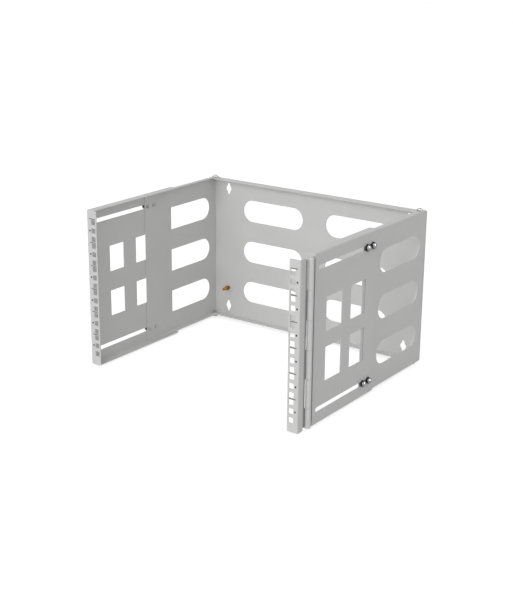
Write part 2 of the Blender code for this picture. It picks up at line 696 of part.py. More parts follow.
def screw_mesh():
    """A pivot screw along Z with the underside of its domed head at the origin, shank down."""
    grip = 2 * FACE_GAP + SHEET + FACE_GAP + PLATE_SHEET + PIVOT_NUT_HEIGHT + SCREW_TIP
    head = list(reversed(dome_profile(SCREW_HEAD_RADIUS, 0.0, SCREW_HEAD_HEIGHT)))
    shank = [
        (SCREW_RADIUS, 0.0),
        (SCREW_RADIUS, SHANK_CHAMFER - grip),
        (SCREW_RADIUS - SHANK_CHAMFER, -grip),
        (0.0, -grip),
    ]
    screw = revolve("pivot_screw", head + shank, SMALL_ROUND_STEPS)
    shade_round(screw)
    mesh = screw.data
    bpy.data.objects.remove(screw, do_unlink=True)
    return mesh


def pivot_nut_mesh():
    """A plain hexagon nut hanging below the origin."""
    nut = extrude_outlines("pivot_nut", [hexagon(PIVOT_NUT_FLATS)], "Z", -PIVOT_NUT_HEIGHT, 0.0)
    bore = [circle((0.0, 0.0), SCREW_RADIUS + FACE_GAP, SMALL_ROUND_STEPS)]
    combine(nut, extrude_outlines("bore", bore, "Z", -PIVOT_NUT_HEIGHT - MARGIN, MARGIN), "DIFFERENCE")
    mesh = nut.data
    bpy.data.objects.remove(nut, do_unlink=True)
    return mesh


def build_pivots():
    """The screws and nuts on which the sides turn, above and below each rear corner."""
    shank_mesh = screw_mesh()
    nut_mesh = pivot_nut_mesh()
    pieces = []
    for side, side_name in ((LEFT, "left"), (RIGHT, "right")):
        for level, level_name in ((1, "upper"), (-1, "lower")):
            upright = Matrix.Identity(4) if level > 0 else Matrix.Rotation(math.pi, 4, "X")
            head_seat = level * (REAR_TOP + FACE_GAP)
            nut_seat = level * (PLATE_TOP - PLATE_SHEET - FACE_GAP)
            screw = add_object(f"pivot_screw_{side_name}_{level_name}", shank_mesh.copy())
            screw.matrix_world = Matrix.Translation((side * PIVOT_X, PIVOT_Y, head_seat)) @ upright
            nut = add_object(f"pivot_nut_{side_name}_{level_name}", nut_mesh.copy())
            nut.matrix_world = Matrix.Translation((side * PIVOT_X, PIVOT_Y, nut_seat)) @ upright
            pieces += [paint(screw, NICKEL), paint(nut, ZINC)]
    return pieces


def build_earth_stud():
    """The threaded earth stud, welded to the back plate by its small round base."""
    profile = [
        (0.0, 0.0),
        (EARTH_BASE_RADIUS, 0.0),
        (EARTH_BASE_RADIUS, EARTH_BASE_HEIGHT),
        (EARTH_RADIUS, EARTH_BASE_HEIGHT),
        (EARTH_RADIUS, EARTH_LENGTH - SHANK_CHAMFER),
        (EARTH_RADIUS - SHANK_CHAMFER, EARTH_LENGTH),
        (0.0, EARTH_LENGTH),
    ]
    stud = revolve("earth_stud", profile, SMALL_ROUND_STEPS)
    forward = Matrix.Rotation(math.pi / 2, 4, "X")
    stud.matrix_world = Matrix.Translation((-KEYHOLE_X, PLATE_FRONT - FACE_GAP, -EARTH_Z)) @ forward
    shade_round(stud)
    return paint(stud, COPPER)


def build_earth_nut():
    """The hexagon nut run down to the base of the earth stud."""
    low = EARTH_BASE_HEIGHT + FACE_GAP
    nut = extrude_outlines("earth_nut", [hexagon(EARTH_NUT_FLATS)], "Z", low, low + EARTH_NUT_HEIGHT)
    bore = [circle((0.0, 0.0), EARTH_RADIUS + FACE_GAP, SMALL_ROUND_STEPS)]
    high = low + EARTH_NUT_HEIGHT
    combine(nut, extrude_outlines("bore", bore, "Z", low - MARGIN, high + MARGIN), "DIFFERENCE")
    forward = Matrix.Rotation(math.pi / 2, 4, "X")
    nut.matrix_world = Matrix.Translation((-KEYHOLE_X, PLATE_FRONT - FACE_GAP, -EARTH_Z)) @ forward
    return paint(nut, COPPER)


def joint_empty(name, place, parent=None):
    """An empty on a joint's axis."""
    made = bpy.data.objects.new(name, None)
    made.empty_display_size = AXIS_MARK
    bpy.context.scene.collection.objects.link(made)
    made.location = place if parent is None else Vector(place) - parent.matrix_world.translation
    made.parent = parent
    bpy.context.view_layer.update()
    return made


def carry(empty, pieces):
    """Parents pieces to an empty and leaves them where they stand."""
    for piece in pieces:
        piece.parent = empty
        piece.matrix_parent_inverse = empty.matrix_world.inverted()


def main():
    """Builds every piece and hangs it on its joint."""
    clear_scene()
    build_back_plate()
    build_earth_stud()
    build_earth_nut()
    build_pivots()
    left_fold = joint_empty("left_fold_axis", (-PIVOT_X, PIVOT_Y, 0.0))
    right_fold = joint_empty("right_fold_axis", (PIVOT_X, PIVOT_Y, 0.0))
    carry(left_fold, [build_rear_panel(LEFT, "left_rear_panel"), *build_clamps(LEFT, "left")])
    carry(right_fold, [build_rear_panel(RIGHT, "right_rear_panel"), *build_clamps(RIGHT, "right")])
    left_depth = joint_empty("left_depth_axis", (-FRONT_OUTER, FIRST_CLAMP, 0.0), left_fold)
    right_depth = joint_empty("right_depth_axis", (FRONT_OUTER, FIRST_CLAMP, 0.0), right_fold)
    carry(left_depth, [build_left_front_panel()])
    panel_leaf = build_hinge_leaf("hinge_leaf_panel", 1, RIGHT_PANEL_FRONT + PANEL_LEAF_LAP, 0)
    carry(right_depth, [build_right_front_panel(), panel_leaf, build_hinge_pin()])
    swing = joint_empty("post_swing_axis", (HINGE_X, HINGE_Y, 0.0), right_depth)
    post_edge = RIGHT_POST_FACE + POST_SIDE_DEPTH
    post_leaf = build_hinge_leaf("hinge_leaf_post", -1, post_edge - POST_LEAF_LAP, 1)
    carry(swing, [build_right_post(), post_leaf])


main()
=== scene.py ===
import math

import bmesh
import bpy
from mathutils import Matrix, Vector


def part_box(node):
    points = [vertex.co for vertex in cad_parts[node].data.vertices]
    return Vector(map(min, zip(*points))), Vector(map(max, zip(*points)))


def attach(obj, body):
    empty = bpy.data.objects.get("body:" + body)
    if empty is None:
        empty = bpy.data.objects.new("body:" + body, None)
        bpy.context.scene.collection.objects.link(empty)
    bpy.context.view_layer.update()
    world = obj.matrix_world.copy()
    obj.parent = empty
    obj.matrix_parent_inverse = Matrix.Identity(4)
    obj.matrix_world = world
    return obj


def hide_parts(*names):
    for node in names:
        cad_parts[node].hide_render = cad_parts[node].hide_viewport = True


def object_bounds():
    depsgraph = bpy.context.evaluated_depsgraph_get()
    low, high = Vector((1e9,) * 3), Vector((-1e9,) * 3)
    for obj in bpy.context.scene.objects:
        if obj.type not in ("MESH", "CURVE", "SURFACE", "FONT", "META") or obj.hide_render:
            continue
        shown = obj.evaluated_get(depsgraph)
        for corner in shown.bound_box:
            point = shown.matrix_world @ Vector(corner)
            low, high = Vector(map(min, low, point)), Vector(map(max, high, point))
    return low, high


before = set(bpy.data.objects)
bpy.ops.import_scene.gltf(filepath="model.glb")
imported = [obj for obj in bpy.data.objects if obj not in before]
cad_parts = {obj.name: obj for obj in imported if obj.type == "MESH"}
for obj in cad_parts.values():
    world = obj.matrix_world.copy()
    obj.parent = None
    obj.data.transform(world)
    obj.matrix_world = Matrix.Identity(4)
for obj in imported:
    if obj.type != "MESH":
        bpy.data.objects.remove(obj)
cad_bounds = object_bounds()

bl_info = {
    "name": "Wall mount open frame rack",
    "version": (1, 0, 0),
    "blender": (4, 5, 0),
    "location": "3D View > Sidebar > Rack",
    "description": "Finishes the rack's sheets, hinge, fasteners and printed marks, and sets up the studio",
    "category": "Object",
}

# Nineteen-inch rack standard
UNIT = 0.04445
UNIT_COUNT = 6

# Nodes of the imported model, by finish
PAINTED_SHEETS = (
    "back_plate",
    "left_rear_panel",
    "right_rear_panel",
    "left_front_panel",
    "right_front_panel",
    "right_post",
)
HINGE_LEAVES = ("hinge_leaf_panel", "hinge_leaf_post")
SIDES = ("left", "right")
LEVELS = ("upper", "lower")
CLAMP_PLACES = ("front", "rear")

# Each post's side, the node whose front face is printed, and the body that carries it
POSTS = (("left", "left_front_panel", "left_front"), ("right", "right_post", "post"))

# Shading and the facets of round shapes
SMOOTH_BEND = math.radians(28)
SEGMENTS = 48
FINE_SEGMENTS = 96
DOME_STEPS = 14
MARK_CORNER_STEPS = 5

# Printed marks: the corner radius of a line, and how far in front of the paint the ink starts
LINE_CORNER = 0.0002
INK_CLEARANCE = 0.00001

# Roundings of small parts, as shares of the edge width in the settings
LEAF_EDGE_SHARE = 0.6
PIN_EDGE_SHARE = 0.3
NUT_EDGE_SHARE = 0.8

# Hinge: what lies this much further out than the knuckles belongs to the flat of a leaf, whose darker tone
# is painted shade in the groove, and the knuckles' paint is this much smoother than the powder coat and
# lighter, as painted light
KNUCKLE_MARGIN = 1.05
KNUCKLE_SMOOTHNESS = 0.08

# Cap nuts: hexagon height and dome radius as shares of the width across the flats, the neck under the dome,
# and how much of the seat is polished rather than painted dark like the hexagon's sides
CAP_HEXAGON_SHARE = 0.305
CAP_DOME_SHARE = 0.458
CAP_NECK = 0.0004
SEAT_HEIGHT = 0.0003

# Height of the nuts' chamfers, as a share of how far a corner stands out beyond the flats
CAP_CHAMFER_SHARE = 0.7
NUT_CHAMFER_SHARE = 0.6

# Turned faces of nuts end this far inside the flats
FACE_INSET = 0.0001

# Clamp studs: the dimple's radius at its bottom and at its mouth, as shares of the head's radius
DIMPLE_BOTTOM_SHARE = 0.45
DIMPLE_MOUTH_SHARE = 0.50

# Pivot screws and nuts: the least radius of the dome beside the socket as a share of the socket's width, the
# depth of the socket's pointed bottom, and the radius of the nuts' bore
SOCKET_MOUTH_SHARE = 0.68
SOCKET_POINT = 0.0004
PIVOT_NUT_BORE = 0.0026

# Threads: depth as a share of the pitch, flat of the crest and of the root as a share of the flank, rings in
# each turn, and the gap between a head and the first turn
THREAD_DEPTH_SHARE = 0.55
THREAD_FLAT_SHARE = 0.1
RINGS_PER_TURN = 8
THREAD_START = 0.0001

# What the lamps are aimed at
RACK_MIDDLE = Vector((0.0, -0.2, 0.0))


def colour_property(name, description, default):
    """A colour setting."""
    return bpy.props.FloatVectorProperty(
        name=name, description=description, default=default, size=3, min=0.0, max=1.0, subtype="COLOR"
    )


def length_property(name, description, default):
    """A length setting, in metres."""
    return bpy.props.FloatProperty(
        name=name, description=description, default=default, min=0.0, precision=5, unit="LENGTH"
    )


def factor_property(name, description, default):
    """A setting between 0 and 1."""
    return bpy.props.FloatProperty(
        name=name, description=description, default=default, min=0.0, max=1.0, subtype="FACTOR"
    )


def power_property(name, description, default):
    """A lamp's power, in watts."""
    return bpy.props.FloatProperty(
        name=name, description=description, default=default, min=0.0, unit="POWER"
    )


def angle_property(name, description, degrees):
    """An angle setting whose default is given in degrees."""
    return bpy.props.FloatProperty(
        name=name, description=description, default=math.radians(degrees), subtype="ANGLE"
    )


class RackPaintSettings(bpy.types.PropertyGroup):
    """Finish of the painted steel."""

    colour: colour_property("Paint colour", "Light grey powder coat of the sheets", (0.66, 0.66, 0.655))
    # The knuckles' colour is lighter than the sheets' paint: painted light against the shade beside the
    # post's leg
    knuckle_painted_light_colour: colour_property("Hinge colour", "Smooth grey paint of the knuckles", (0.71, 0.71, 0.705))
    # The leaf colour is painted shade: the flat of each leaf is darkened as the groove beside the knuckles
    # is
    painted_leaf_shade_colour: colour_property("Leaf colour", "Dull grey beside the knuckles", (0.34, 0.34, 0.34))
    roughness: factor_property("Roughness", "Middle roughness of the powder coat", 0.48)
    grain_size: length_property("Grain size", "Distance between the small bumps of the powder coat", 0.0012)
    grain_depth: length_property("Grain depth", "Height of those bumps", 0.00002)
    edge_width: length_property("Edge width", "Width of the rounding on painted cut edges", 0.00035)


class RackMarkSettings(bpy.types.PropertyGroup):
    """Printed unit marks on the posts."""

    colour: colour_property("Ink colour", "Dark grey printing ink", (0.030, 0.030, 0.032))
    line_length: length_property("Line length", "Length of the line at each unit boundary", 0.0138)
    line_height: length_property("Line height", "Height of that line", 0.0013)
    line_start: length_property("Line start", "Distance of the line's inner end from the middle", 0.2279)
    dot_width: length_property("Dot width", "Width of the dot at each unit's middle", 0.0036)
    dot_height: length_property("Dot height", "Height of that dot", 0.0036)
    dot_place: length_property("Dot place", "Distance of the dot from the middle of the rack", 0.2409)
    ink_thickness: length_property("Ink thickness", "How far the ink stands on the paint", 0.00005)


class RackFastenerSettings(bpy.types.PropertyGroup):
    """Screws, nuts and studs."""

    # The hexagons' near-black is a painted dark reflection; the domes and seats keep the lighter polished
    # colour
    hexagon_painted_reflection_colour: colour_property("Nut colour", "Black plating of the hexagons", (0.022, 0.022, 0.024))
    dome_colour: colour_property("Dome colour", "Polished domes and seats of cap nuts", (0.24, 0.24, 0.24))
    zinc_colour: colour_property("Zinc colour", "Plating of studs, pin and plain nuts", (0.45, 0.45, 0.44))
    copper_colour: colour_property("Copper colour", "Plating of the earth stud", (0.31, 0.135, 0.025))
    coarse_pitch: length_property("Coarse pitch", "Thread pitch of the clamp studs", 0.0010)
    fine_pitch: length_property("Fine pitch", "Thread pitch of the pivot screws and the earth stud", 0.0008)
    socket_flats: length_property("Socket size", "Width of the hexagon socket in the pivot screws", 0.0030)
    edge_width: length_property("Edge width", "Width of the rounding on turned and pressed edges", 0.00015)


class RackStageSettings(bpy.types.PropertyGroup):
    """Studio and camera."""

    floor_colour: colour_property("Floor colour", "Pale floor", (0.62, 0.62, 0.62))
    floor_size: length_property("Floor size", "Width of the floor", 14.0)
    floor_glow: factor_property("Floor glow", "What the eye sees the floor by, on top of its light", 0.66)
    sky_light: factor_property("Sky light", "Strength of the even light from all round", 0.50)
    key_power: power_property("Key power", "Power of the large front lamp", 218.0)
    fill_power: power_property("Fill power", "Power of the large lamp at the front left", 47.0)
    low_power: power_property("Low power", "Power of the low lamp at the front right", 12.0)
    glint_power: power_property("Glint power", "Power of the high lamp that only gloss shows", 120.0)
    side_glint_power: power_property("Side glint power", "Power of the side lamp for gloss alone", 250.0)
    lens: bpy.props.FloatProperty(
        name="Lens", description="Focal length on a 36 mm frame", default=72.082, min=1.0, unit="CAMERA"
    )
    camera_place: bpy.props.FloatVectorProperty(
        name="Camera place", description="Where the photograph was taken from", size=3,
        default=(1.25618, -1.95927, 0.67947), subtype="TRANSLATION",
    )
    camera_heading: angle_property("Camera heading", "Turn of the view from +Y towards -X", 35.44)
    camera_pitch: angle_property("Camera pitch", "Tilt of the view above the horizon", -18.19)
    camera_roll: angle_property("Camera roll", "Roll of the view", 0.50)


def node_material(name):
    """A new material and its Principled shader."""
    made = bpy.data.materials.new(name)
    made.use_nodes = True
    return made, made.node_tree.nodes["Principled BSDF"]


def noise_texture(tree, size, detail=2.0, roughness=0.5):
    """A noise with features of about the given size, in the object's own metres."""
    place = tree.nodes.new("ShaderNodeTexCoord")
    made = tree.nodes.new("ShaderNodeTexNoise")
    made.inputs["Scale"].default_value = 1.0 / size
    made.inputs["Detail"].default_value = detail
    made.inputs["Roughness"].default_value = roughness
    tree.links.new(place.outputs["Object"], made.inputs["Vector"])
    return made


def spread(tree, source, low, high):
    """A number that runs from low to high as the source runs through its middle range."""
    made = tree.nodes.new("ShaderNodeMapRange")
    made.inputs["From Min"].default_value = 0.3
    made.inputs["From Max"].default_value = 0.7
    made.inputs["To Min"].default_value = low
    made.inputs["To Max"].default_value = high
    tree.links.new(source, made.inputs["Value"])
    return made.outputs["Result"]


def blend_colours(tree, source, first, second):
    """A colour between two, by the source."""
    made = tree.nodes.new("ShaderNodeMix")
    made.data_type = "RGBA"
    made.inputs["A"].default_value = (*first, 1.0)
    made.inputs["B"].default_value = (*second, 1.0)
    tree.links.new(source, made.inputs["Factor"])
    return made.outputs["Result"]


def bump(tree, shader, height, depth):
    """Small relief from a height."""
    made = tree.nodes.new("ShaderNodeBump")
    made.inputs["Distance"].default_value = depth
    made.inputs["Strength"].default_value = 1.0
    tree.links.new(height, made.inputs["Height"])
    tree.links.new(made.outputs["Normal"], shader.inputs["Normal"])


def shade(colour, factor):
    """A colour made lighter or darker."""
    return tuple(min(channel * factor, 1.0) for channel in colour)


def powder_coat(name, colour, roughness, grain_size, grain_depth):
    """Sprayed and baked powder: a faint unevenness of tone and a fine orange-peel relief."""
    made, shader = node_material(name)
    tree = made.node_tree
    cloud = noise_texture(tree, 0.060, detail=3.0)
    tone = spread(tree, cloud.outputs["Fac"], 0.0, 1.0)
    coat = blend_colours(tree, tone, shade(colour, 0.985), shade(colour, 1.015))
    tree.links.new(coat, shader.inputs["Base Color"])
    grain = noise_texture(tree, grain_size, detail=2.0, roughness=0.45)
    gloss = spread(tree, grain.outputs["Fac"], roughness - 0.05, roughness + 0.05)
    tree.links.new(gloss, shader.inputs["Roughness"])
    bump(tree, shader, grain.outputs["Fac"], grain_depth)
    return made


def plated_metal(name, colour, roughness, patch=0.04):
    """Plating with slight patches of tone and fine wiping marks in its gloss."""
    made, shader = node_material(name)
    shader.inputs["Metallic"].default_value = 1.0
    tree = made.node_tree
    cloud = noise_texture(tree, 0.004, detail=3.0)
    tone = spread(tree, cloud.outputs["Fac"], 0.0, 1.0)
    plating = blend_colours(tree, tone, shade(colour, 1.0 - patch), shade(colour, 1.0 + patch))
    tree.links.new(plating, shader.inputs["Base Color"])
    wipes = noise_texture(tree, 0.0008, detail=4.0)
    gloss = spread(tree, wipes.outputs["Fac"], roughness * 0.7, roughness * 1.3)
    tree.links.new(gloss, shader.inputs["Roughness"])
    bump(tree, shader, wipes.outputs["Fac"], 0.000004)
    return made


def printed_ink(name, colour):
    """Matt ink with the faint speckle of a screen print."""
    made, shader = node_material(name)
    tree = made.node_tree
    speckle = noise_texture(tree, 0.0005, detail=2.0)
    tone = spread(tree, speckle.outputs["Fac"], 0.0, 1.0)
    print_tone = blend_colours(tree, tone, shade(colour, 0.85), shade(colour, 1.25))
    tree.links.new(print_tone, shader.inputs["Base Color"])
    shader.inputs["Roughness"].default_value = 0.62
    bump(tree, shader, speckle.outputs["Fac"], 0.000008)
    return made


def soften(piece, width):
    """Rounds the cut edges of a piece, and shades its flat faces flat and its bends smooth."""
    weld = piece.modifiers.new("weld", "WELD")
    weld.merge_threshold = 1e-6
    flat = piece.modifiers.new("flat", "DECIMATE")
    flat.decimate_type = "DISSOLVE"
    flat.angle_limit = math.radians(0.3)
    edge = piece.modifiers.new("edge", "BEVEL")
    edge.width = width
    edge.segments = 2
    edge.limit_method = "ANGLE"
    edge.angle_limit = SMOOTH_BEND
    normals = piece.modifiers.new("normals", "WEIGHTED_NORMAL")
    normals.mode = "FACE_AREA"
    normals.weight = 100


def dress_node(name, finish, edge_width):
    """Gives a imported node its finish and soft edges."""
    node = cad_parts[name]
    node.data.materials.clear()
    node.data.materials.append(finish)
    node.data.shade_smooth()
    soften(node, edge_width)


def mesh_object(name, bm, finish, body):
    """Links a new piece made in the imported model's frame, and lets it ride on its body."""
    bmesh.ops.recalc_face_normals(bm, faces=bm.faces)
    mesh = bpy.data.meshes.new(name)
    bm.to_mesh(mesh)
    bm.free()
    mesh.materials.append(finish)
    mesh.shade_smooth()
    mesh.set_sharp_from_angle(angle=SMOOTH_BEND)
    piece = bpy.data.objects.new(name, mesh)
    bpy.context.scene.collection.objects.link(piece)
    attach(piece, body)
    return piece


def add_rings(bm, rings):
    """Skins a closed body from rings of points; a ring of one point closes an end."""
    rows = [[bm.verts.new(point) for point in row] for row in rings]
    for lower, upper in zip(rows, rows[1:]):
        count = max(len(lower), len(upper))
        for i in range(count):
            j = (i + 1) % count
            if len(lower) == 1:
                bm.faces.new((lower[0], upper[j], upper[i]))
            elif len(upper) == 1:
                bm.faces.new((lower[i], lower[j], upper[0]))
            else:
                bm.faces.new((lower[i], lower[j], upper[j], upper[i]))


def ring(radius, height, segments=SEGMENTS):
    """A level ring of points, or the one point on the axis."""
    if radius <= 0.0:
        return [Vector((0.0, 0.0, height))]
    step = math.tau / segments
    return [
        Vector((radius * math.cos(i * step), radius * math.sin(i * step), height))
        for i in range(segments)
    ]


def hexagon_radius(flats, angle):
    """Distance from the middle to the side of a hexagon whose corner lies at angle 0."""
    sector = math.pi / 3
    inside = (angle % sector) - sector / 2
    return flats / 2 / math.cos(inside)


def hexagon_ring(flats, height, limit):
    """A ring that follows a hexagon, cut back to a limit radius as a turned chamfer does."""
    points = []
    for i in range(FINE_SEGMENTS):
        angle = math.tau * i / FINE_SEGMENTS
        radius = min(hexagon_radius(flats, angle), limit)
        points.append(Vector((radius * math.cos(angle), radius * math.sin(angle), height)))
    return points


def thread_radius(angle, height, radius, pitch):
    """Radius of a screw thread's flank at an angle and a height."""
    depth = THREAD_DEPTH_SHARE * pitch
    phase = (height / pitch - angle / math.tau) % 1.0
    flank = abs(phase - 0.5) * 2.0
    crest = min(max((flank - THREAD_FLAT_SHARE) / (1.0 - 2 * THREAD_FLAT_SHARE), 0.0), 1.0)
    return radius - depth * (1.0 - crest)


def thread_rings(radius, low, high, pitch, chamfer, segments=SEGMENTS):
    """Rings of a threaded rod from low to high, chamfered and closed at its high end."""
    rows = max(int((high - low) / pitch * RINGS_PER_TURN), 2)
    rings = []
    for row in range(rows + 1):
        height = low + (high - low) * row / rows
        limit = radius - max(height - (high - chamfer), 0.0)
        points = []
        for i in range(segments):
            angle = math.tau * i / segments
            here = min(thread_radius(angle, height, radius, pitch), limit)
            points.append(Vector((here * math.cos(angle), here * math.sin(angle), height)))
        rings.append(points)
    rings.append([Vector((0.0, 0.0, high))])
    return rings


def dome_rings(radius, base, rise):
    """Rings of a dome from its rim at base up to the axis."""
    rings = []
    for step in range(1, DOME_STEPS + 1):
        angle = math.pi / 2 * step / DOME_STEPS
        here = radius * math.cos(angle) if step < DOME_STEPS else 0.0
        rings.append(ring(here, base + rise * math.sin(angle), FINE_SEGMENTS))
    return rings


def cap_nut_rings(flats, hexagon_height, dome_radius, total_height):
    """Rings of a domed cap nut standing on its base at the origin."""
    corner = flats / math.sqrt(3)
    cut = flats / 2
    chamfer = (corner - cut) * CAP_CHAMFER_SHARE
    neck = hexagon_height + CAP_NECK
    rings = [
        [Vector((0.0, 0.0, 0.0))],
        hexagon_ring(flats, 0.0, cut - FACE_INSET),
        hexagon_ring(flats, chamfer * 0.5, corner),
        hexagon_ring(flats, hexagon_height - chamfer, corner),
        hexagon_ring(flats, hexagon_height, cut - FACE_INSET),
        ring(dome_radius + 0.0001, hexagon_height, FINE_SEGMENTS),
        ring(dome_radius, neck, FINE_SEGMENTS),
    ]
    rings += dome_rings(dome_radius, neck, total_height - neck)
    return rings


def place_rings(rings, matrix):
    """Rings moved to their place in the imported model's frame."""
    return [[matrix @ point for point in row] for row in rings]


def outward_matrix(side, base_x, place_y, place_z):
    """Turns +Z to point away from the rack's middle, on the left or the right side."""
    sign = -1 if side == "left" else 1
    return Matrix.Translation((base_x, place_y, place_z)) @ Matrix.Rotation(sign * math.pi / 2, 4, "Y")


def upright_matrix(place, level):
    """Turns +Z to point up, or down for the lower level."""
    turn = Matrix.Identity(4) if level == "upper" else Matrix.Rotation(math.pi, 4, "X")
    return Matrix.Translation(place) @ turn


def side_body(side):
    """The body that carries a side's clamp fasteners."""
    return f"{side}_rear"


class RACK_OT_painted_sheets(bpy.types.Operator):
    """Paint the folded sheets and round their cut edges"""

    bl_idname = "rack.painted_sheets"
    bl_label = "Painted sheets"

    def execute(self, context):
        paint = context.scene.rack_paint
        finish = powder_coat(
            "light_grey_powder_coat", paint.colour, paint.roughness, paint.grain_size, paint.grain_depth
        )
        for name in PAINTED_SHEETS:
            dress_node(name, finish, paint.edge_width)
        return {"FINISHED"}


class RACK_OT_piano_hinge(bpy.types.Operator):
    """Finish the hinge leaves and their pin"""

    bl_idname = "rack.piano_hinge"
    bl_label = "Piano hinge"

    def execute(self, context):
        paint = context.scene.rack_paint
        finish = powder_coat(
            "knuckle_coat_with_painted_light", paint.knuckle_painted_light_colour, paint.roughness - KNUCKLE_SMOOTHNESS,
            paint.grain_size, paint.grain_depth * 0.5,
        )
        # Painted shade for the flats of the leaves in the groove beside the knuckles
        leaf_shade_finish = powder_coat(
            "shaded_leaf_coat", paint.painted_leaf_shade_colour, paint.roughness, paint.grain_size, paint.grain_depth
        )
        low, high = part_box("hinge_pin")
        axis = (low + high) / 2
        for name in HINGE_LEAVES:
            dress_node(name, finish, paint.edge_width * LEAF_EDGE_SHARE)
            self.paint_leaf_shade(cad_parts[name], leaf_shade_finish, axis)
        zinc = plated_metal("zinc_pin", context.scene.rack_fasteners.zinc_colour, 0.30)
        dress_node("hinge_pin", zinc, paint.edge_width * PIN_EDGE_SHARE)
        return {"FINISHED"}

    def paint_leaf_shade(self, leaf, finish, axis):
        """Gives the flat of a leaf a darker finish, painted shade for the groove beside the knuckles, and
        leaves the knuckles as they are.
        """
        knuckle_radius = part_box("hinge_leaf_post")[1].y - axis.y
        leaf.data.materials.append(finish)
        for face in leaf.data.polygons:
            place = leaf.matrix_world @ face.center
            if (place.xy - axis.xy).length > knuckle_radius * KNUCKLE_MARGIN:
                face.material_index = 1


class RACK_OT_unit_marks(bpy.types.Operator):
    """Print the unit lines and dots on the front of both posts"""

    bl_idname = "rack.unit_marks"
    bl_label = "Unit marks"

    def execute(self, context):
        marks = context.scene.rack_marks
        ink = printed_ink("dark_grey_ink", marks.colour)
        for side, node, body in POSTS:
            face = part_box(node)[0].y
            self.print_post(side, face, marks, ink, body)
        return {"FINISHED"}

    def print_post(self, side, face, marks, ink, body):
        """One post's lines at the unit boundaries and dots at the units' middles."""
        sign = -1 if side == "left" else 1
        line_x = sign * (marks.line_start + marks.line_length / 2)
        dot_x = sign * marks.dot_place
        line_size = (marks.line_length, marks.line_height)
        dot_size = (marks.dot_width, marks.dot_height)
        depths = (face - INK_CLEARANCE, face - marks.ink_thickness)
        bm = bmesh.new()
        for unit in range(UNIT_COUNT):
            line_z = (UNIT_COUNT // 2 - unit) * UNIT
            dot_z = line_z - UNIT / 2
            self.add_mark(bm, (line_x, line_z), line_size, LINE_CORNER, depths)
            self.add_mark(bm, (dot_x, dot_z), dot_size, marks.dot_height / 2, depths)
        mesh_object(f"{side}_post_marks", bm, ink, body)

    def add_mark(self, bm, centre, size, corner, depths):
        """A flat patch of ink with round corners, between two depths along Y."""
        outline = []
        for quarter, (across, up) in enumerate(((1, 1), (-1, 1), (-1, -1), (1, -1))):
            corner_x = centre[0] + across * (size[0] / 2 - corner)
            corner_z = centre[1] + up * (size[1] / 2 - corner)
            for step in range(MARK_CORNER_STEPS + 1):
                angle = math.pi / 2 * (quarter + step / MARK_CORNER_STEPS)
                outline.append((corner_x + corner * math.cos(angle), corner_z + corner * math.sin(angle)))
        back, front = ([Vector((x, depth, z)) for x, z in outline] for depth in depths)
        middle_back, middle_front = ([Vector((centre[0], depth, centre[1]))] for depth in depths)
        add_rings(bm, [middle_back, back, front, middle_front])


class RACK_OT_cap_nuts(bpy.types.Operator):
    """Replace the plain cap nuts by chamfered and domed ones"""

    bl_idname = "rack.cap_nuts"
    bl_label = "Cap nuts"

    def execute(self, context):
        fasteners = context.scene.rack_fasteners
        # Near-black for the hexagons' sides is a painted dark reflection of one and the same nickel plating
        black = plated_metal("nickel_painted_dark_reflection", fasteners.hexagon_painted_reflection_colour, 0.14)
        bright = plated_metal("polished_nickel", fasteners.dome_colour, 0.06)
        for side in SIDES:
            for level in LEVELS:
                for place in CLAMP_PLACES:
                    self.add_nut(side, f"{side}_{level}_{place}", black, bright, fasteners.edge_width)
        return {"FINISHED"}

    def add_nut(self, side, label, black, bright, edge_width):
        """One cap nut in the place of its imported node."""
        node = f"cap_nut_{label}"
        low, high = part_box(node)
        flats = high.y - low.y
        middle = (low + high) / 2
        base_x = high.x if side == "left" else low.x
        matrix = outward_matrix(side, base_x, middle.y, middle.z)
        bm = bmesh.new()
        hexagon_height = flats * CAP_HEXAGON_SHARE
        rings = cap_nut_rings(flats, hexagon_height, flats * CAP_DOME_SHARE, high.x - low.x)
        add_rings(bm, place_rings(rings, matrix))
        piece = mesh_object(f"domed_{node}", bm, black, side_body(side))
        # The hexagon's sides keep the near-black finish, a painted dark reflection; the dome and the seat
        # get the polished one
        piece.data.materials.append(bright)
        for face in piece.data.polygons:
            height = abs(face.center.x - base_x)
            if height > hexagon_height + FACE_INSET or height < SEAT_HEIGHT:
                face.material_index = 1
        soften(piece, edge_width)
        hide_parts(node)


class RACK_OT_clamp_studs(bpy.types.Operator):
    """Replace the plain clamp studs by threaded ones with a clinched head"""

    bl_idname = "rack.clamp_studs"
    bl_label = "Clamp studs"

    def execute(self, context):
        fasteners = context.scene.rack_fasteners
        finish = plated_metal("stud_plating", shade(fasteners.zinc_colour, 0.7), 0.32)
        for side in SIDES:
            for level in LEVELS:
                for place in CLAMP_PLACES:
                    self.add_stud(side, f"{side}_{level}_{place}", finish, fasteners)
        return {"FINISHED"}

    def add_stud(self, side, label, finish, fasteners):
        """One stud: a round clinched head with a shallow dimple, and a threaded shank."""
        node = f"clamp_stud_{label}"
        low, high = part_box(node)
        middle = (low + high) / 2
        head = (high.z - low.z) / 2
        length = high.x - low.x
        base_x = high.x if side == "left" else low.x
        head_height = 0.0015
        shank = 0.0030
        edge = 0.0003
        dimple = 0.0002
        rings = [
            [Vector((0.0, 0.0, dimple))],
            ring(head * DIMPLE_BOTTOM_SHARE, dimple),
            ring(head * DIMPLE_MOUTH_SHARE, 0.0),
            ring(head - edge, 0.0),
            ring(head, edge),
            ring(head, head_height),
            ring(shank, head_height),
        ]
        rings += thread_rings(shank, head_height + THREAD_START, length, fasteners.coarse_pitch, 0.0005)
        matrix = outward_matrix(side, base_x, middle.y, middle.z)
        bm = bmesh.new()
        add_rings(bm, place_rings(rings, matrix))
        piece = mesh_object(f"threaded_{node}", bm, finish, side_body(side))
        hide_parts(node)


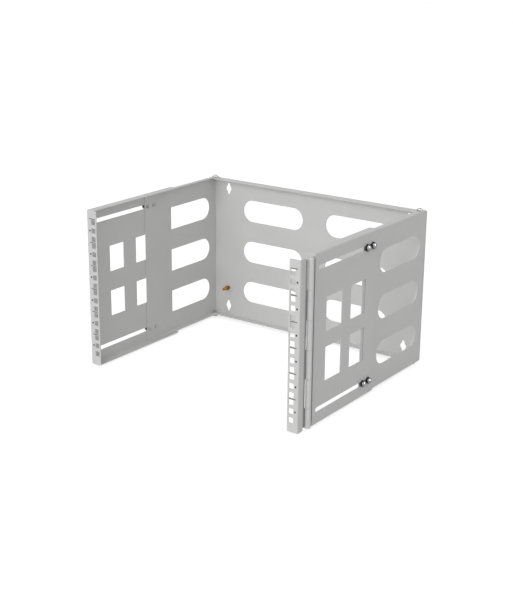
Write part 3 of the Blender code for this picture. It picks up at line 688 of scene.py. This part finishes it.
class RACK_OT_pivot_screws(bpy.types.Operator):
    """Replace the pivot screws and nuts by threaded ones with sockets and chamfers"""

    bl_idname = "rack.pivot_screws"
    bl_label = "Pivot screws"

    def execute(self, context):
        fasteners = context.scene.rack_fasteners
        bright = plated_metal("bright_screw_plating", shade(fasteners.zinc_colour, 0.75), 0.34)
        zinc = plated_metal("zinc_nut_plating", fasteners.zinc_colour, 0.45)
        for side in SIDES:
            for level in LEVELS:
                self.add_screw(side, level, bright, fasteners)
                self.add_nut(side, level, zinc, fasteners.edge_width)
        return {"FINISHED"}

    def add_screw(self, side, level, finish, fasteners):
        """A domed head with a hexagon socket over a threaded shank."""
        node = f"pivot_screw_{side}_{level}"
        low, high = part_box(node)
        middle = (low + high) / 2
        head = (high.x - low.x) / 2
        shank = 0.0025
        rise = 0.0042
        total = high.z - low.z
        grip = total - rise
        seat = high.z - rise if level == "upper" else low.z + rise
        socket = fasteners.socket_flats
        socket_depth = 0.0018
        rim = 0.35 * rise
        edge = 0.0002
        rings = [
            ring(head - edge, 0.0, FINE_SEGMENTS),
            ring(head, edge, FINE_SEGMENTS),
            ring(head, rim, FINE_SEGMENTS),
        ]
        dome = dome_rings(head, rim, rise - rim)
        rings += [row for row in dome if len(row) > 1 and row[0].xy.length > socket * SOCKET_MOUTH_SHARE]
        top = rings[-1][0].z
        rings += [
            hexagon_ring(socket, top, socket),
            hexagon_ring(socket, top - socket_depth, socket),
            [Vector((0.0, 0.0, top - socket_depth - SOCKET_POINT))],
        ]
        matrix = upright_matrix((middle.x, middle.y, seat), level)
        down = Matrix.Rotation(math.pi, 4, "X")
        thread = thread_rings(shank, 0.0, grip, fasteners.fine_pitch, 0.0004, FINE_SEGMENTS)
        shank_rings = list(reversed(place_rings(thread, down)))
        bm = bmesh.new()
        add_rings(bm, place_rings(shank_rings + rings, matrix))
        piece = mesh_object(f"socket_{node}", bm, finish, "frame")
        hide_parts(node)

    def add_nut(self, side, level, finish, edge_width):
        """A plain hexagon nut, chamfered on both faces."""
        node = f"pivot_nut_{side}_{level}"
        low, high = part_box(node)
        middle = (low + high) / 2
        flats = high.y - low.y
        height = high.z - low.z
        bm = bmesh.new()
        rings = plain_nut_rings(flats, height, PIVOT_NUT_BORE)
        add_rings(bm, place_rings(rings, Matrix.Translation((middle.x, middle.y, low.z))))
        close_bore(bm)
        piece = mesh_object(f"chamfered_{node}", bm, finish, "frame")
        soften(piece, edge_width * NUT_EDGE_SHARE)
        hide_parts(node)


def plain_nut_rings(flats, height, bore):
    """Rings of a nut from the bore's lower mouth, round the outside, to its upper mouth."""
    corner = flats / math.sqrt(3)
    cut = flats / 2 - FACE_INSET
    chamfer = (corner - cut) * NUT_CHAMFER_SHARE
    countersink = 0.0003
    return [
        ring(bore, countersink, FINE_SEGMENTS),
        ring(bore + countersink, 0.0, FINE_SEGMENTS),
        hexagon_ring(flats, 0.0, cut),
        hexagon_ring(flats, chamfer, corner),
        hexagon_ring(flats, height - chamfer, corner),
        hexagon_ring(flats, height, cut),
        ring(bore + countersink, height, FINE_SEGMENTS),
        ring(bore, height - countersink, FINE_SEGMENTS),
    ]


def close_bore(bm):
    """Joins a nut's last ring to its first, which makes the bore's wall."""
    bm.verts.ensure_lookup_table()
    first = bm.verts[:FINE_SEGMENTS]
    last = bm.verts[-FINE_SEGMENTS:]
    for i in range(FINE_SEGMENTS):
        j = (i + 1) % FINE_SEGMENTS
        bm.faces.new((last[i], last[j], first[j], first[i]))


class RACK_OT_earth_stud(bpy.types.Operator):
    """Replace the earth stud and its nut by a threaded stud and a chamfered nut"""

    bl_idname = "rack.earth_stud"
    bl_label = "Earth stud"

    def execute(self, context):
        fasteners = context.scene.rack_fasteners
        finish = plated_metal("copper_plating", fasteners.copper_colour, 0.32, patch=0.18)
        forward = Matrix.Rotation(math.pi / 2, 4, "X")
        low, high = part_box("earth_stud")
        middle = (low + high) / 2
        length = high.y - low.y
        base = (high.x - low.x) / 2
        base_height = 0.0012
        radius = 0.0029
        edge = 0.0002
        rings = [[Vector((0.0, 0.0, 0.0))], ring(base, 0.0), ring(base, base_height - edge)]
        rings += [ring(base - edge, base_height), ring(radius, base_height)]
        rings += thread_rings(radius, base_height + THREAD_START, length, fasteners.fine_pitch, 0.0006)
        matrix = Matrix.Translation((middle.x, high.y, middle.z)) @ forward
        bm = bmesh.new()
        add_rings(bm, place_rings(rings, matrix))
        stud = mesh_object("threaded_earth_stud", bm, finish, "frame")
        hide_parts("earth_stud")
        low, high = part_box("earth_nut")
        middle = (low + high) / 2
        flats = high.z - low.z
        rings = plain_nut_rings(flats, high.y - low.y, radius + 0.0001)
        bm = bmesh.new()
        matrix = Matrix.Translation((middle.x, high.y, middle.z)) @ forward
        add_rings(bm, place_rings(rings, matrix))
        close_bore(bm)
        nut = mesh_object("chamfered_earth_nut", bm, finish, "frame")
        soften(nut, fasteners.edge_width * NUT_EDGE_SHARE)
        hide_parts("earth_nut")
        return {"FINISHED"}


class RACK_OT_stage(bpy.types.Operator):
    """Set up the floor, the soft studio light and the camera"""

    bl_idname = "rack.stage"
    bl_label = "Studio"

    def execute(self, context):
        stage = context.scene.rack_stage
        self.add_floor(stage)
        self.set_world(context.scene, stage)
        self.add_lamp("key_lamp", (0.3, -8.0, 3.6), 5.0, stage.key_power)
        self.add_lamp("fill_lamp", (-3.6, -7.2, 3.2), 5.0, stage.fill_power)
        self.add_lamp("low_lamp", (1.2, -4.0, 0.9), 1.8, stage.low_power)
        high_glint = self.add_lamp("high_glint_lamp", (-0.7, -0.9, 3.2), 1.6, stage.glint_power)
        side_glint = self.add_lamp("side_glint_lamp", (3.8, 0.1, 2.3), 1.8, stage.side_glint_power)
        side_glint.data.shape = "RECTANGLE"
        side_glint.data.size_y = 4.2
        high_glint.visible_diffuse = False
        side_glint.visible_diffuse = False
        self.add_camera(context.scene, stage)
        context.scene.view_settings.view_transform = "Standard"
        return {"FINISHED"}

    def add_floor(self, stage):
        """A pale floor that the camera and reflections see as white, with the object's soft shadow."""
        half = stage.floor_size / 2
        level = cad_bounds[0][2]
        mesh = bpy.data.meshes.new("floor")
        corners = [(-half, -half, level), (half, -half, level), (half, half, level), (-half, half, level)]
        mesh.from_pydata(corners, [], [(0, 1, 2, 3)])
        floor = bpy.data.objects.new("floor", mesh)
        bpy.context.scene.collection.objects.link(floor)
        made, shader = node_material("pale_floor")
        shader.inputs["Base Color"].default_value = (*stage.floor_colour, 1.0)
        shader.inputs["Roughness"].default_value = 0.9
        shader.inputs["Emission Color"].default_value = (1.0, 1.0, 1.0, 1.0)
        tree = made.node_tree
        seen = self.seen_by_eye(tree)
        glow = tree.nodes.new("ShaderNodeMath")
        glow.operation = "MULTIPLY"
        glow.inputs[1].default_value = stage.floor_glow
        tree.links.new(seen, glow.inputs[0])
        tree.links.new(glow.outputs["Value"], shader.inputs["Emission Strength"])
        mesh.materials.append(made)

    def seen_by_eye(self, tree):
        """1 for rays from the camera, off gloss and through glass, and 0 for the rest."""
        path = tree.nodes.new("ShaderNodeLightPath")
        total = path.outputs["Is Camera Ray"]
        for other in ("Is Glossy Ray", "Is Transmission Ray"):
            add = tree.nodes.new("ShaderNodeMath")
            add.operation = "MAXIMUM"
            tree.links.new(total, add.inputs[0])
            tree.links.new(path.outputs[other], add.inputs[1])
            total = add.outputs["Value"]
        return total

    def set_world(self, scene, stage):
        """White to the eye, and an even light of its own strength on the object."""
        world = bpy.data.worlds.new("studio")
        scene.world = world
        world.use_nodes = True
        tree = world.node_tree
        background = tree.nodes["Background"]
        background.inputs["Color"].default_value = (1.0, 1.0, 1.0, 1.0)
        strength = tree.nodes.new("ShaderNodeMapRange")
        strength.inputs["To Min"].default_value = stage.sky_light
        strength.inputs["To Max"].default_value = 1.0
        tree.links.new(self.seen_by_eye(tree), strength.inputs["Value"])
        tree.links.new(strength.outputs["Result"], background.inputs["Strength"])

    def add_lamp(self, name, place, size, power):
        """A square soft lamp aimed at the middle of the rack."""
        lamp = bpy.data.lights.new(name, "AREA")
        lamp.size = size
        lamp.energy = power
        made = bpy.data.objects.new(name, lamp)
        made.location = place
        made.rotation_euler = (RACK_MIDDLE - Vector(place)).to_track_quat("-Z", "Y").to_euler()
        bpy.context.scene.collection.objects.link(made)
        return made

    def add_camera(self, scene, stage):
        """The photograph's camera."""
        heading = stage.camera_heading
        pitch = stage.camera_pitch
        roll = stage.camera_roll
        forward = Vector((
            -math.sin(heading) * math.cos(pitch), math.cos(heading) * math.cos(pitch), math.sin(pitch),
        ))
        level_right = Vector((math.cos(heading), math.sin(heading), 0.0))
        level_up = level_right.cross(forward)
        right = math.cos(roll) * level_right + math.sin(roll) * level_up
        up = math.cos(roll) * level_up - math.sin(roll) * level_right
        lens = bpy.data.cameras.new("photo_camera")
        lens.sensor_fit = "AUTO"
        lens.sensor_width = 36.0
        lens.lens = stage.lens
        lens.clip_end = 50.0
        camera = bpy.data.objects.new("photo_camera", lens)
        turn = Matrix((right, up, -forward)).transposed()
        camera.matrix_world = Matrix.Translation(stage.camera_place) @ turn.to_4x4()
        scene.collection.objects.link(camera)
        scene.camera = camera


class RACK_PT_sidebar(bpy.types.Panel):
    """Lists the rack's pieces and their settings"""

    bl_idname = "RACK_PT_sidebar"
    bl_label = "Rack"
    bl_space_type = "VIEW_3D"
    bl_region_type = "UI"
    bl_category = "Rack"

    def draw(self, context):
        layout = self.layout
        for owner in SETTINGS:
            group = getattr(context.scene, owner)
            box = layout.box()
            for name in group.__annotations__:
                box.prop(group, name)
        for operator in PIECE_OPERATORS:
            layout.operator(operator.bl_idname)


SETTINGS = {
    "rack_paint": RackPaintSettings,
    "rack_marks": RackMarkSettings,
    "rack_fasteners": RackFastenerSettings,
    "rack_stage": RackStageSettings,
}
PIECE_OPERATORS = (
    RACK_OT_painted_sheets,
    RACK_OT_piano_hinge,
    RACK_OT_unit_marks,
    RACK_OT_cap_nuts,
    RACK_OT_clamp_studs,
    RACK_OT_pivot_screws,
    RACK_OT_earth_stud,
    RACK_OT_stage,
)


def register():
    """Registers the settings, the operators and the panel."""
    for owner, group in SETTINGS.items():
        bpy.utils.register_class(group)
        setattr(bpy.types.Scene, owner, bpy.props.PointerProperty(type=group))
    for operator in PIECE_OPERATORS:
        bpy.utils.register_class(operator)
    bpy.utils.register_class(RACK_PT_sidebar)


def unregister():
    """Takes away what register added."""
    bpy.utils.unregister_class(RACK_PT_sidebar)
    for operator in reversed(PIECE_OPERATORS):
        bpy.utils.unregister_class(operator)
    for owner, group in reversed(SETTINGS.items()):
        delattr(bpy.types.Scene, owner)
        bpy.utils.unregister_class(group)


def main():
    """Makes every piece and the stage."""
    register()
    for operator in PIECE_OPERATORS:
        group, name = operator.bl_idname.split(".")
        getattr(getattr(bpy.ops, group), name)()


if __name__ == "__main__":
    main()
